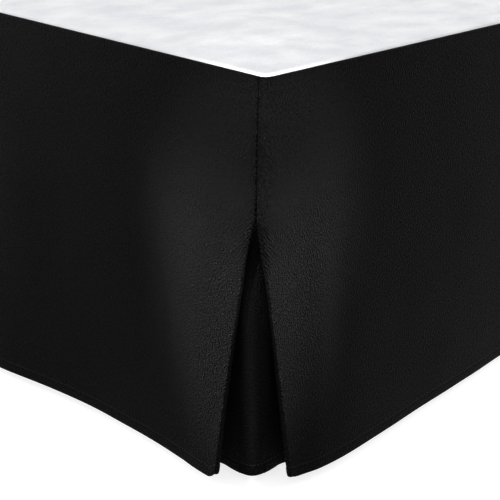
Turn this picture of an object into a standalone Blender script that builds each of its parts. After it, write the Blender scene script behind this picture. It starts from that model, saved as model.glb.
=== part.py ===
"""A tailored bed skirt hanging round a plain bed base, at its real size.

The skirt is a flat deck that lies on the box spring, with three plain drops sewn along its
edges. Each foot corner has an inverted pleat: the two drops meet in a stitched seam for the
upper third and then part in an upside-down V, and an insert wraps the corner behind them.

Metres. X runs across the bed, Y along it with the foot end at -Y, and Z up from the floor.
"""

import math
from collections import namedtuple

import bmesh
import bpy
from mathutils import Vector

# The skirt: a queen deck, 60 by 80 inches, with 14 inch drops.
DECK_WIDTH = 1.524
DECK_LENGTH = 2.032
DECK_HEIGHT = 0.362
DROP = 0.353
CLOTH = 0.0012
GAP = 0.0003
CORNER_RADIUS = 0.010
ROLL_RADIUS = 0.0024
DECK_SEAM = 0.0007

# The pleat at each foot corner.
PLEAT_APEX = 0.305
FOLD_RADIUS_TOP = 0.00075
FOLD_RADIUS_HEM = 0.0025
SEAM_DRIFT = 0.0050
SEAM_TOP_SHARE = 1.3
RETURN_REACH = 0.095
FLAP_REACH = 0.115
TIP_WIDTH = 0.009
INSERT_LAP = 0.012
INSERT_INSET = 0.0038
INSERT_SHORTER = 0.0005
INSERT_HEM_RADIUS = 0.032
INSERT_SINK = 0.013
INSERT_FREE_FROM = 0.50
HOLD_WIDTH = 0.045
HOLD_RELEASE = 0.10

# How fast the flare and the rise at a fold grow on the way down to the hem, and how quickly
# that rise falls away beside the fold.
FLARE_POWER = 1.1
TIP_POWER = 8
TIP_ROUNDNESS = 2.2

# The bed base that the skirt hangs on.
BOX_WIDTH = 1.511
BOX_LENGTH = 2.019
BOX_THICKNESS = 0.165
BOX_CORNER_RADIUS = 0.030
BOX_EDGE_RADIUS = 0.010
RAIL_WIDTH = 0.040
RAIL_HEIGHT = 0.030
RAIL_INSET = 0.045
RAIL_LENGTH = 1.900
RAIL_CORNER_RADIUS = 0.003
LEG_DIAMETER = 0.032
LEG_FOOT_DIAMETER = 0.026
LEG_END_INSET = 0.090
GLIDE_DIAMETER = 0.050
GLIDE_TOP_DIAMETER = 0.042
GLIDE_HEIGHT = 0.012

# How far each drop's hem stands out from the deck's edge. Columns: distance along the edge
# from the right foot corner, or from a side drop's own foot corner, and the way out, in mm.
FOOT_HEM = (
    (0, 8.0),
    (45, 7.8),
    (65, 7.0),
    (82, 5.0),
    (116, 2.4),
    (166, 1.6),
    (200, 2.0),
    (232, 4.3),
    (265, 7.8),
    (331, 17.2),
    (400, 19.0),
    (500, 11.0),
    (620, 4.5),
    (760, 9.5),
    (900, 16.0),
    (1040, 8.5),
    (1180, 5.0),
    (1290, 8.5),
    (1390, 13.0),
    (1450, 13.5),
    (1524, 10.0),
)
RIGHT_HEM = (
    (0, 5.0),
    (45, 7.5),
    (71, 13.4),
    (100, 15.5),
    (146, 14.7),
    (225, 12.0),
    (311, 9.5),
    (360, 6.9),
    (520, 5.0),
    (680, 11.0),
    (860, 15.0),
    (1040, 7.0),
    (1240, 5.0),
    (1440, 12.0),
    (1620, 14.5),
    (1800, 7.0),
    (1920, 6.0),
    (2032, 9.0),
)
LEFT_HEM = (
    (0, 7.0),
    (45, 9.0),
    (78, 13.0),
    (120, 14.0),
    (190, 10.0),
    (290, 5.0),
    (420, 7.5),
    (570, 14.5),
    (740, 11.0),
    (920, 5.0),
    (1110, 9.0),
    (1300, 16.0),
    (1490, 9.5),
    (1680, 4.5),
    (1860, 9.0),
    (2032, 12.0),
)

# Where a drop's mesh has its sections. Depths are shares of the drop below the top roll.
ROLL_TURNS = (90, 45)
DEPTHS = (0.0, 0.13, 0.25, 0.305, 0.345, 0.405, 0.50, 0.63, 0.76, 0.88, 1.0)
FOLD_TURNS = (45, 90, 135)
FLAP_SHARES = (0.0, 0.035, 0.07, 0.105, 0.16, 0.26, 0.42, 0.62, 0.80)
RETURN_SHARES = (0.04, 0.08, 0.13, 0.30, 0.62, 0.87, 1.0)
INSERT_TURNS = (0, 22.5, 45)
PLAIN_SPACING = 0.072

FOOT_REACH = max(out for _, out in FOOT_HEM) / 1000
FACE_Y = (FOOT_REACH - DECK_LENGTH) / 2
HEAD_Y = FACE_Y + DECK_LENGTH
LAYER = CLOTH + GAP
ROLL_CENTRE = CLOTH / 2 + ROLL_RADIUS
RIGHT_CORNER = Vector((DECK_WIDTH / 2, FACE_Y))
LEFT_CORNER = Vector((-DECK_WIDTH / 2, FACE_Y))

# One straight edge of the deck, seen from one of its foot corners: the way along the edge, the
# way out of the bed, how far the flap there has swung back at its hem, how bowed its folded
# edge is, how far its hem rises at the fold, and how far the corner seam's foot stands off
# the corner towards this edge.
Face = namedtuple("Face", "corner way_along way_out spread bow tip_lift drift")
LEFTWARD = Vector((-1, 0))
RIGHTWARD = Vector((1, 0))
FOOTWARD = Vector((0, -1))
HEADWARD = Vector((0, 1))
FOOT_FROM_RIGHT = Face(RIGHT_CORNER, LEFTWARD, FOOTWARD, 0.034, 0.28, 0.0055, SEAM_DRIFT)
FOOT_FROM_LEFT = Face(LEFT_CORNER, RIGHTWARD, FOOTWARD, 0.037, 0.15, 0.003, -SEAM_DRIFT / 2)
RIGHT_SIDE = Face(RIGHT_CORNER, HEADWARD, RIGHTWARD, 0.036, 0.02, 0.0018, -SEAM_DRIFT)
LEFT_SIDE = Face(LEFT_CORNER, HEADWARD, LEFTWARD, 0.033, 0.25, 0.004, SEAM_DRIFT / 2)


def mix(a, b, share):
    return a + (b - a) * share


def smooth(share):
    """0 to 1 with level ends, from a share that may lie outside them."""
    share = min(max(share, 0.0), 1.0)
    return share * share * (3 - 2 * share)


def read_table(table, at):
    """A smooth curve through a table's rows, in metres, level with its neighbours at each row."""
    at = min(max(at * 1000, table[0][0]), table[-1][0])
    last = len(table) - 1
    i = max(k for k in range(last) if table[k][0] <= at)
    (x0, y0), (x1, y1) = table[i], table[i + 1]
    before, after = table[max(i - 1, 0)], table[min(i + 2, last)]
    slope0 = (y1 - before[1]) / (x1 - before[0])
    slope1 = (after[1] - y0) / (after[0] - x0)
    u = (at - x0) / (x1 - x0)
    rise = (x1 - x0) * (slope0 * u * (1 - u) ** 2 - slope1 * u * u * (1 - u))
    return (mix(y0, y1, u * u * (3 - 2 * u)) + rise) / 1000


def plan_point(face, along, out, middle=0.0, radius=CORNER_RADIUS):
    """A point beside the deck's edge. along is the length of edge from the middle of the
    rounded corner, and out is how far outside the edge the point lies. Near the line at
    middle, where two pieces meet, offset points keep their true distance from it."""
    bend = radius * math.pi / 4
    if along >= bend:
        return face.corner + face.way_along * (radius + along - bend) + face.way_out * out
    past = along - middle
    along += past * (1 - past / (bend - middle)) * (radius / (radius + out) - 1)
    turn = (bend - along) / radius
    across = radius - (radius + out) * math.sin(turn)
    beyond = (radius + out) * math.cos(turn) - radius
    return face.corner + face.way_along * across + face.way_out * beyond


def below_apex(depth):
    """0 down to the pleat's apex, then up to 1 at the hem."""
    return max(depth - PLEAT_APEX, 0) / (1 - PLEAT_APEX)


def fold_radius(depth):
    """Half the gap between a flap and its return, from centre to centre."""
    return mix(FOLD_RADIUS_TOP, FOLD_RADIUS_HEM, smooth(below_apex(depth)))


def pleat_middle(face, depth):
    """Where the pleat's middle line lies: beside the corner down to the apex, and then back."""
    share = mix(SEAM_TOP_SHARE, 1.0, min(depth / PLEAT_APEX, 1.0))
    return face.drift * share * (1 - below_apex(depth))


def flap_edge(face, depth):
    """How far from the corner a flap's fold has its centre: at the seam, then ever further."""
    opened = below_apex(depth) * (1 + face.bow * (1 - below_apex(depth)))
    seam = fold_radius(depth) + CLOTH / 2 + GAP
    return pleat_middle(face, depth) + seam + face.spread * opened


def flare(hem, along, depth):
    """How far a drop stands out: ever more towards the hem, and held in beside the seam."""
    held = smooth(1 - (depth - PLEAT_APEX) / HOLD_RELEASE)
    beside = math.exp(-((along / HOLD_WIDTH) ** 2))
    return hem(along) * depth**FLARE_POWER * (1 - held * beside)


def section_point(face, along, layer, out, depth, turn):
    """A point on a drop's middle surface, layer metres behind its front one."""
    radius = ROLL_RADIUS - layer
    level = radius * math.cos(math.radians(turn))
    upright = radius * math.sin(math.radians(turn))
    plan = plan_point(face, along, level - ROLL_CENTRE + out, pleat_middle(face, depth))
    from_fold = (along - flap_edge(face, depth)) / TIP_WIDTH
    rounded = min(max(1 - from_fold, 0.0), 1.0) ** TIP_ROUNDNESS
    lift = face.tip_lift * depth**TIP_POWER * rounded
    height = mix(DECK_HEIGHT - ROLL_CENTRE, DECK_HEIGHT - DROP, depth)
    return Vector((plan.x, plan.y, height + upright + lift))


def pleat_section(face, hem, depth, turn):
    """Points from the insert's seam, along the return, round the fold and across the flap."""
    edge = flap_edge(face, depth)
    fold = fold_radius(depth)
    at_fold = flare(hem, edge, depth)
    points = []
    for share in reversed(RETURN_SHARES):
        along = mix(edge, RETURN_REACH, share)
        out = flare(hem, along, depth)
        layer = mix(2 * fold + out - at_fold, LAYER + out, smooth(share))
        points.append(section_point(face, along, layer, out, depth, turn))
    points.append(section_point(face, edge, 2 * fold, at_fold, depth, turn))
    for angle in reversed(FOLD_TURNS):
        along = edge - fold * math.sin(math.radians(angle))
        layer = fold * (1 - math.cos(math.radians(angle)))
        points.append(section_point(face, along, layer, at_fold, depth, turn))
    for share in FLAP_SHARES:
        along = mix(edge, FLAP_REACH, share)
        points.append(section_point(face, along, 0.0, flare(hem, along, depth), depth, turn))
    return points


def plain_section(face, hem, end, depth, turn):
    """Points along a drop from the pleat's reach to a distance from the corner."""
    steps = math.ceil((end - FLAP_REACH) / PLAIN_SPACING)
    alongs = [mix(FLAP_REACH, end, k / steps) for k in range(steps + 1)]
    return [section_point(face, a, 0.0, flare(hem, a, depth), depth, turn) for a in alongs]


def edge_distance(along):
    """The distance from the square corner of a point that far round the rounded one."""
    return along + CORNER_RADIUS * (1 - math.pi / 4)


def drop_sections(section):
    """A drop's sections from its seam at the deck's edge, over the roll and down to the hem."""
    rolled = [section(0.0, turn) for turn in ROLL_TURNS]
    return rolled + [section(depth, 0) for depth in DEPTHS]


def side_drop(name, face, table, material):
    def hem(along):
        return read_table(table, edge_distance(along))

    def section(depth, turn):
        end = DECK_LENGTH - edge_distance(0)
        return pleat_section(face, hem, depth, turn) + plain_section(face, hem, end, depth, turn)

    return cloth_sheet(name, drop_sections(section), face is LEFT_SIDE, material)


def foot_drop(name, material):
    def from_right(along):
        return read_table(FOOT_HEM, edge_distance(along))

    def from_left(along):
        return read_table(FOOT_HEM, DECK_WIDTH - edge_distance(along))

    def section(depth, turn):
        middle = DECK_WIDTH / 2 - edge_distance(0)
        right = pleat_section(FOOT_FROM_RIGHT, from_right, depth, turn)
        right += plain_section(FOOT_FROM_RIGHT, from_right, middle, depth, turn)
        left = pleat_section(FOOT_FROM_LEFT, from_left, depth, turn)
        left += plain_section(FOOT_FROM_LEFT, from_left, middle, depth, turn)
        return right + left[-2::-1]

    return cloth_sheet(name, drop_sections(section), True, material)


def insert_section(foot, side, depth):
    """Points across an insert, from its seam on the foot drop, round the corner, to the other."""
    radius = mix(CORNER_RADIUS, INSERT_HEM_RADIUS, smooth(depth))
    bend = radius * math.pi / 4
    shift = radius - bend - edge_distance(0)
    top = DECK_HEIGHT - INSERT_INSET
    height = mix(top, DECK_HEIGHT - DROP + INSERT_SHORTER, depth)
    sink = INSERT_SINK * smooth((depth - INSERT_FREE_FROM) / (1 - INSERT_FREE_FROM))
    lap = RETURN_REACH - INSERT_LAP
    alongs = [RETURN_REACH - shift, lap - shift, mix(bend, lap - shift, 0.5)]
    alongs += [bend * (1 - turn / 45) for turn in INSERT_TURNS]
    outs = [-INSERT_INSET - sink * smooth(2 - 2 * along / lap) for along in alongs]
    half = [
        [plan_point(face, along, out, 0.0, radius) for along, out in zip(alongs, outs)]
        for face in (foot, side)
    ]
    return [Vector((p.x, p.y, height)) for p in half[0] + half[1][-2::-1]]


def pleat_insert(name, foot, side, flip, material):
    return cloth_sheet(name, [insert_section(foot, side, d) for d in DEPTHS], flip, material)


def cloth_sheet(name, sections, flip, material):
    """A sheet lofted through its sections, with the cloth's thickness half on each side."""
    mesh = bmesh.new()
    rows = [[mesh.verts.new(point) for point in section] for section in sections]
    for upper, lower in zip(rows, rows[1:]):
        for i in range(len(upper) - 1):
            corners = (upper[i], lower[i], lower[i + 1], upper[i + 1])
            mesh.faces.new(corners[::-1] if flip else corners)
    obj = add_object(name, mesh, material)
    solidify = obj.modifiers.new("cloth thickness", "SOLIDIFY")
    solidify.thickness = CLOTH
    solidify.offset = 0.0
    solidify.use_even_offset = True
    return obj


def rounded_slab(name, low, high, corner_radius, edge_radius, sharp_edge, material):
    """A box with rounded upright corners, and rounded rims unless edge_radius is 0. The
    corners at +Y stay square where sharp_edge is true."""
    mesh = bmesh.new()
    bmesh.ops.create_cube(mesh, size=1.0)
    size = high - low
    bmesh.ops.scale(mesh, vec=size, verts=mesh.verts)
    bmesh.ops.translate(mesh, vec=(low + high) / 2, verts=mesh.verts)
    upright = [e for e in mesh.edges if abs(e.verts[0].co.z - e.verts[1].co.z) > size.z / 2]
    if sharp_edge:
        upright = [e for e in upright if e.verts[0].co.y < high.y - size.y / 2]
    round_edges(mesh, upright, corner_radius, 6)
    if edge_radius:
        rims = [e for e in mesh.edges if abs(e.verts[0].co.z - e.verts[1].co.z) < size.z / 2]
        round_edges(mesh, rims, edge_radius, 3)
    return add_object(name, mesh, material)


def round_edges(mesh, edges, radius, segments):
    bmesh.ops.bevel(
        mesh, geom=edges, offset=radius, segments=segments, profile=0.5, affect="EDGES"
    )


def tapered_post(name, low, high, low_diameter, high_diameter, material):
    """An upright round piece between two points."""
    mesh = bmesh.new()
    bmesh.ops.create_cone(
        mesh,
        cap_ends=True,
        segments=24,
        radius1=low_diameter / 2,
        radius2=high_diameter / 2,
        depth=high.z - low.z,
    )
    bmesh.ops.translate(mesh, vec=(low + high) / 2, verts=mesh.verts)
    return add_object(name, mesh, material)


def add_object(name, mesh, material):
    data = bpy.data.meshes.new(name)
    mesh.normal_update()
    mesh.to_mesh(data)
    mesh.free()
    data.materials.append(material)
    data.shade_smooth()
    data.set_sharp_from_angle(angle=math.radians(40))
    obj = bpy.data.objects.new(name, data)
    parts_collection().objects.link(obj)
    return obj


def parts_collection():
    found = bpy.data.collections.get("bed_skirt_on_base")
    if not found:
        found = bpy.data.collections.new("bed_skirt_on_base")
        bpy.context.scene.collection.children.link(found)
    return found


def surface(name, colour, roughness, metallic=0.0):
    material = bpy.data.materials.new(name)
    material.use_nodes = True
    shader = material.node_tree.nodes["Principled BSDF"]
    shader.inputs["Base Color"].default_value = (*colour, 1.0)
    shader.inputs["Roughness"].default_value = roughness
    shader.inputs["Metallic"].default_value = metallic
    return material


def build_skirt():
    black = surface("black skirt cloth", (0.012, 0.012, 0.012), 0.9)
    white = surface("white deck cloth", (0.80, 0.82, 0.86), 0.85)
    edge = ROLL_CENTRE + DECK_SEAM
    low = Vector((edge - DECK_WIDTH / 2, FACE_Y + edge, DECK_HEIGHT - CLOTH))
    high = Vector((DECK_WIDTH / 2 - edge, HEAD_Y, DECK_HEIGHT))
    rounded_slab("deck", low, high, CORNER_RADIUS - edge, 0.0, True, white)
    foot_drop("drop_foot", black)
    side_drop("drop_right", RIGHT_SIDE, RIGHT_HEM, black)
    side_drop("drop_left", LEFT_SIDE, LEFT_HEM, black)
    pleat_insert("pleat_insert_right", FOOT_FROM_RIGHT, RIGHT_SIDE, False, black)
    pleat_insert("pleat_insert_left", FOOT_FROM_LEFT, LEFT_SIDE, True, black)


def build_base():
    ticking = surface("box spring ticking", (0.62, 0.60, 0.56), 0.9)
    steel = surface("painted steel frame", (0.09, 0.09, 0.10), 0.45, 0.6)
    plastic = surface("glide plastic", (0.03, 0.03, 0.03), 0.5)
    centre_y = FACE_Y + DECK_LENGTH / 2
    half = Vector((BOX_WIDTH / 2, BOX_LENGTH / 2, 0))
    box_top = DECK_HEIGHT - LAYER
    box_low = Vector((0, centre_y, box_top - BOX_THICKNESS)) - half
    box_high = Vector((0, centre_y, box_top)) + half
    rounded_slab(
        "box_spring", box_low, box_high, BOX_CORNER_RADIUS, BOX_EDGE_RADIUS, False, ticking
    )

    rail_top = box_low.z - GAP
    rail_x = BOX_WIDTH / 2 - RAIL_INSET - RAIL_WIDTH / 2
    bar = Vector((RAIL_WIDTH / 2, RAIL_LENGTH / 2, RAIL_HEIGHT / 2))
    for name, x in (("rail_left", -rail_x), ("rail_right", rail_x)):
        middle = Vector((x, centre_y, rail_top - bar.z))
        rounded_slab(name, middle - bar, middle + bar, RAIL_CORNER_RADIUS, 0.0, False, steel)

    bar = Vector((rail_x - RAIL_WIDTH / 2 - GAP, RAIL_WIDTH / 2, RAIL_HEIGHT / 2))
    reach = RAIL_LENGTH / 2 - LEG_END_INSET
    for end, y in (("foot", centre_y - reach), ("mid", centre_y), ("head", centre_y + reach)):
        name = f"cross_rail_{end}"
        middle = Vector((0, y, rail_top - bar.z))
        rounded_slab(name, middle - bar, middle + bar, RAIL_CORNER_RADIUS, 0.0, False, steel)
        for side, x in (("left", -rail_x), ("centre", 0.0), ("right", rail_x)):
            place = f"{end}_{side}"
            low = Vector((x, y, GLIDE_HEIGHT + GAP))
            high = Vector((x, y, rail_top - RAIL_HEIGHT - GAP))
            tapered_post(f"leg_{place}", low, high, LEG_FOOT_DIAMETER, LEG_DIAMETER, steel)
            low = Vector((x, y, 0.0))
            high = Vector((x, y, GLIDE_HEIGHT))
            tapered_post(f"glide_{place}", low, high, GLIDE_DIAMETER, GLIDE_TOP_DIAMETER, plastic)


def main():
    for obj in list(bpy.data.objects):
        bpy.data.objects.remove(obj)
    build_skirt()
    build_base()


main()
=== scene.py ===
"""The looks of a black tailored bed skirt hanging round a plain box spring and bed frame.

Metres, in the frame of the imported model: X across the bed, Y along it with the foot at -Y, and
Z up from the floor. Tables of folds and creases are in millimetres, as their columns say.
"""

import math

from collections import namedtuple

import bmesh
import bpy
import numpy as np
from mathutils import Matrix, Quaternion, Vector


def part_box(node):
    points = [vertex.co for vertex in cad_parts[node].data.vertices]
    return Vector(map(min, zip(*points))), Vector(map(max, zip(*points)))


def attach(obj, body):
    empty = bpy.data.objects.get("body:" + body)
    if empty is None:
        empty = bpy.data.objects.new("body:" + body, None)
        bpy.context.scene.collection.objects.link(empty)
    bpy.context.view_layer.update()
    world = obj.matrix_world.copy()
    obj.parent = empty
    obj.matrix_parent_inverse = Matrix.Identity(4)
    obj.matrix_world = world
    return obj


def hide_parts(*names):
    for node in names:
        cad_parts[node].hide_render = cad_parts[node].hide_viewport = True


# The skirt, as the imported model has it: the deck, the drop, the cloth of the solids, the gap at
# a seam, the deck's rounded corner, and the roll of a drop over the deck's edge.
DECK_WIDTH = 1.524
DECK_LENGTH = 2.032
DECK_HEIGHT = 0.362
DROP = 0.353
SOLID_CLOTH = 0.0012
GAP = 0.0003
CORNER_RADIUS = 0.010
ROLL_RADIUS = 0.0024

# The pleat at a foot corner. Its apex, as a share of the drop, is where the seam ends and the V
# opens. The seam's foot drifts off the corner, and its top ever so slightly further.
PLEAT_APEX = 0.305
SEAM_DRIFT = 0.0050
SEAM_TOP_SHARE = 1.3
# Half the gap between a flap and the cloth turned back behind it, how far that cloth reaches
# from the corner, and how far the flap's finer columns do.
FOLD_RADIUS_TOP = 0.00075
FOLD_RADIUS_HEM = 0.0025
RETURN_REACH = 0.095
FLAP_REACH = 0.115
# The hem rises at a flap's tip: over this width, this suddenly near the hem, and this round.
TIP_WIDTH = 0.009
TIP_POWER = 8
TIP_ROUNDNESS = 2.2
# A drop stands out ever more towards its hem. The seam holds it in over this width, and lets go
# of it over this share of the drop below the apex.
FLARE_POWER = 1.1
HOLD_WIDTH = 0.045
HOLD_RELEASE = 0.10
# The insert behind the pleat: how far its seams lie within the turned-back cloth, how far it
# hangs inside the deck's edge, and how much lower than a drop its hem is. Towards the hem, from
# this share of the drop on, its corner grows rounder and sinks back.
INSERT_LAP = 0.012
INSERT_INSET = 0.0038
INSERT_LONGER = 0.0008
INSERT_HEM_RADIUS = 0.032
INSERT_SINK = 0.013
INSERT_FREE_FROM = 0.50
# Its waves grow over this share of the drop below the apex and this distance from the seams,
# and are stretched down the drop.
INSERT_WAVES_GROW_DOWN = 0.2
INSERT_WAVES_GROW_ACROSS = 0.02
INSERT_WAVES_STRETCH = 0.35

# The cloth as it is seen: thinner than its solid, with a hem turned up behind. The hem's back is
# pressed flat from this share of its height on, until it lies this many cloths behind the front.
CLOTH = 0.0008
HEM_HEIGHT = 0.0102
HEM_RADIUS = 0.0009
HEM_PRESSED_FROM = 0.375
HEM_PRESSED_CLOTHS = 1.1
# The topstitch draws the cloth in to a groove, and the hem puffs out below it.
GROOVE_DEPTH = 0.00028
GROOVE_WIDTH = 0.0011
PUFF_HEIGHT = 0.00022
PUFF_EDGE = 0.003
# The stitches: their length and pitch, how far each strays along the hem, the range of their
# lengths, and how far the first and last are from the ends. Columns of a stitch's sections:
# share of its length, share of the thread's radius, how far it stands up in radii.
STITCH_LENGTH = 0.0027
STITCH_PITCH = 0.0034
STITCH_STRAY = 0.0002
STITCH_STRETCH = (0.93, 1.04)
STITCH_MARGIN = 0.002
STITCH_SEED = 11
STITCH_SECTIONS = (
    (0.00, 0.25, -0.90),
    (0.12, 0.85, -0.10),
    (0.35, 1.00, 0.45),
    (0.65, 1.00, 0.45),
    (0.88, 0.85, -0.10),
    (1.00, 0.25, -0.90),
)
THREAD_RADIUS = 0.00022
THREAD_SIDES = 6
# The weave: the pitch of its threads, how much of its unevenness is upright, level and speckled,
# how long its level slubs are beside its upright ones, and the range that its looks vary over.
THREAD_PITCH = 0.0007
SLUB_SHARES = (0.4, 0.2, 0.4)
LEVEL_SLUB = 0.8
SLUB_RANGE = (0.38, 0.62)
# The fine puckers beside the corner's seam: their pitch down it, how far they reach from it, their
# height, where they begin and end down the cloth, how soon they fade there, how many times
# further down than across they run, and how far they wander.
PUCKER_PITCH = 0.0042
PUCKER_REACH = 0.020
PUCKER_HEIGHT = 0.0009
PUCKERED = (0.022, 0.130)
PUCKER_FADE = 0.03
PUCKER_SLANT = 1.4
PUCKER_WANDER = 0.012

# Slight waves all over a piece. Columns: height, length, the seed they are drawn with. Each kind
# is the sum of a few waves of nearly that length, which seldom add up to more than the peak.
WAVE_COUNT = 9
WAVE_STRETCH = (0.7, 1.6)
WAVE_PEAK = 4
DROP_WAVES = (0.0005, 0.085, 3)
INSERT_WAVES = (0.0006, 0.022, 21)
DECK_SWELLS = (0.00096, 0.17, 31)
DECK_RIDGES = (0.0008, 0.075, 33)
# A drop's waves begin this far below the deck's top, and grow between these distances from the
# corner.
DROP_WAVES_FROM_TOP = 0.03
DROP_WAVES_FROM_CORNER = (0.02, 0.07)
# The deck's edge is tucked in this far from the drops' roll, and lies flat for this far inside.
DECK_TUCK = 0.0011
DECK_FLAT_EDGE = 0.09
DECK_RIDGES_SLANT = (0.4, -0.3)

# How far each drop's hem stands out from the deck's edge. Columns: distance along the edge
# from the right foot corner, or from a side drop's own foot corner, and the way out, in mm.
FOOT_HEM = (
    (0, 8.0),
    (45, 7.8),
    (65, 7.0),
    (82, 5.0),
    (116, 2.4),
    (166, 1.6),
    (200, 2.0),
    (232, 4.3),
    (265, 7.8),
    (331, 17.2),
    (400, 19.0),
    (500, 11.0),
    (620, 4.5),
    (760, 9.5),
    (900, 16.0),
    (1040, 8.5),
    (1180, 5.0),
    (1290, 8.5),
    (1390, 13.0),
    (1450, 13.5),
    (1524, 10.0),
)
RIGHT_HEM = (
    (0, 5.0),
    (45, 7.5),
    (71, 13.4),
    (100, 15.5),
    (146, 14.7),
    (225, 12.0),
    (311, 9.5),
    (360, 6.9),
    (520, 5.0),
    (680, 11.0),
    (860, 15.0),
    (1040, 7.0),
    (1240, 5.0),
    (1440, 12.0),
    (1620, 14.5),
    (1800, 7.0),
    (1920, 6.0),
    (2032, 9.0),
)
LEFT_HEM = (
    (0, 7.0),
    (45, 9.0),
    (78, 13.0),
    (120, 14.0),
    (190, 10.0),
    (290, 5.0),
    (420, 7.5),
    (570, 14.5),
    (740, 11.0),
    (920, 5.0),
    (1110, 9.0),
    (1300, 16.0),
    (1490, 9.5),
    (1680, 4.5),
    (1860, 9.0),
    (2032, 12.0),
)

# Creases beside a foot corner, each a soft ridge, or a trough where its height is negative.
# Columns: along and depth where it starts, along and depth where it ends, height, width, in mm.
# Along is from the corner, and depth from the deck's top. Each is bowed by a share of its length,
# and shares of its length are taken up by its sharper start and its fainter end.
CREASE_BOW = 0.06
CREASE_START = 0.3
CREASE_END = 0.5
FOOT_CREASES = (
    (8, 112, 30, 124, 0.30, 1.8),
    (9, 115, 33, 136, 0.42, 1.7),
    (9, 119, 30, 146, 0.45, 1.7),
    (9, 124, 26, 154, 0.40, 1.6),
    (9, 130, 22, 160, 0.32, 1.5),
    (9, 137, 19, 168, 0.22, 1.5),
    (12, 108, 44, 111, 0.25, 2.2),
    (30, 60, 75, 90, 0.25, 6.0),
    (50, 40, 110, 62, -0.30, 7.0),
    (120, 60, 138, 130, -0.50, 9.0),
    (119, 141, 97, 320, -0.70, 9.0),
)
SIDE_CREASES = (
    (-4, 112, 4, 152, 0.40, 1.5),
    (0, 113, 11, 150, 0.40, 1.6),
    (4, 113, 19, 146, 0.38, 1.7),
    (8, 112, 30, 138, 0.35, 1.9),
    (10, 110, 42, 122, 0.30, 2.2),
    (18, 25, 46, 40, 0.30, 4.0),
    (40, 36, 80, 56, 0.30, 5.0),
    (22, 50, 60, 74, -0.30, 5.0),
    (85, 110, 96, 80, -0.40, 9.0),
    (3, 112, 64, 90, -0.50, 5.0),
)
LEFT_CREASES = (
    (9, 113, 28, 134, 0.40, 1.7),
    (9, 119, 26, 148, 0.38, 1.7),
    (9, 127, 21, 158, 0.30, 1.6),
    (12, 109, 40, 116, 0.28, 2.2),
    (24, 30, 70, 52, 0.30, 6.0),
)

# Broad swells and hollows in the hang of the cloth. Columns: along, depth, height, half width
# along, half width in depth, in mm.
FOOT_SWELLS = (
    (26, 138, 0.7, 20, 22),
    (75, 190, 1.2, 30, 80),
    (10, 8, -1.0, 12, 5),
    (132, 210, -1.6, 20, 90),
    (190, 110, 0.9, 40, 50),
    (250, 190, -1.0, 36, 90),
    (310, 90, 0.8, 40, 60),
)
SIDE_SWELLS = (
    (28, 138, 0.8, 22, 22),
    (55, 190, 0.7, 22, 60),
    (7, 11, -1.8, 8, 6),
    (20, 16, -1.0, 12, 8),
    (92, 190, -1.2, 16, 80),
    (178, 240, -0.9, 28, 34),
    (228, 296, -0.6, 24, 24),
    (150, 120, 0.8, 36, 50),
    (290, 150, 0.9, 50, 80),
)
LEFT_SWELLS = (
    (28, 140, 1.3, 20, 24),
    (70, 200, -0.8, 18, 80),
    (150, 140, 0.9, 40, 60),
)

# Where a sheet has its columns and rows. Columns of each: up to here, in steps of this, in mm.
FLAP_STEPS = ((12, 1.0), (62, 1.7), (110, 3.0))
RETURN_STEPS = ((6, 1.2), (30, 4.0), (90, 10.0))
NEAR_STEPS = ((245, 4.5),)
FAR_STEP = 14
DEPTH_STEPS = ((176, 2.4), (336, 4.0), (352, 1.1))
INSERT_DEPTH_STEPS = ((330, 4.5), (347, 1.2))
INSERT_COLUMNS = 44
DECK_COLUMNS = 190
DECK_ROWS = 240
# How much coarser the left side's sheets are, and the foot's drop beside its left pleat.
LEFT_COARSER = 1.4
LEFT_PLEAT_COARSER = 1.3
# How far round the roll, a flap's fold and the hem's fold they lie, in degrees, and how far up
# the hem's back.
ROLL_TURNS = (112, 90, 72, 54, 36, 18)
FOLD_TURNS = (22.5, 45, 67.5, 90, 112.5, 135, 157.5)
HEM_TURNS = (30, 60, 90, 120, 150, 180)
HEM_BACK_SHARES = (0.15, 0.4, 0.65, 0.9, 1.0)
# The share of a strip that the export's map leaves free at each edge.
BAKE_MARGIN = 0.01

FOOT_REACH = max(out for _, out in FOOT_HEM) / 1000
FACE_Y = (FOOT_REACH - DECK_LENGTH) / 2
HEAD_Y = FACE_Y + DECK_LENGTH
LAYER = SOLID_CLOTH + GAP
ROLL_CENTRE = SOLID_CLOTH / 2 + ROLL_RADIUS
RIGHT_CORNER = (DECK_WIDTH / 2, FACE_Y)
LEFT_CORNER = (-DECK_WIDTH / 2, FACE_Y)

# One straight edge of the deck, seen from one of its foot corners: the way along the edge, the
# way out of the bed, how far the flap there has swung back at its hem, how bowed its folded
# edge is, how far its hem rises at the fold, how far the corner seam's foot stands off the
# corner towards this edge, and the creases and swells of its cloth.
Face = namedtuple("Face", "corner way_along way_out spread bow tip_lift drift creases swells")
LEFTWARD = (-1, 0)
RIGHTWARD = (1, 0)
FOOTWARD = (0, -1)
HEADWARD = (0, 1)
FOOT_FROM_RIGHT = Face(
    RIGHT_CORNER, LEFTWARD, FOOTWARD, 0.034, 0.28, 0.0055, SEAM_DRIFT,
    FOOT_CREASES, FOOT_SWELLS,
)
FOOT_FROM_LEFT = Face(
    LEFT_CORNER, RIGHTWARD, FOOTWARD, 0.037, 0.15, 0.003, -SEAM_DRIFT / 2,
    LEFT_CREASES, LEFT_SWELLS,
)
RIGHT_SIDE = Face(
    RIGHT_CORNER, HEADWARD, RIGHTWARD, 0.036, 0.02, 0.0018, -SEAM_DRIFT,
    SIDE_CREASES, SIDE_SWELLS,
)
LEFT_SIDE = Face(
    LEFT_CORNER, HEADWARD, LEFTWARD, 0.033, 0.25, 0.004, SEAM_DRIFT / 2,
    LEFT_CREASES, LEFT_SWELLS,
)

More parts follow.
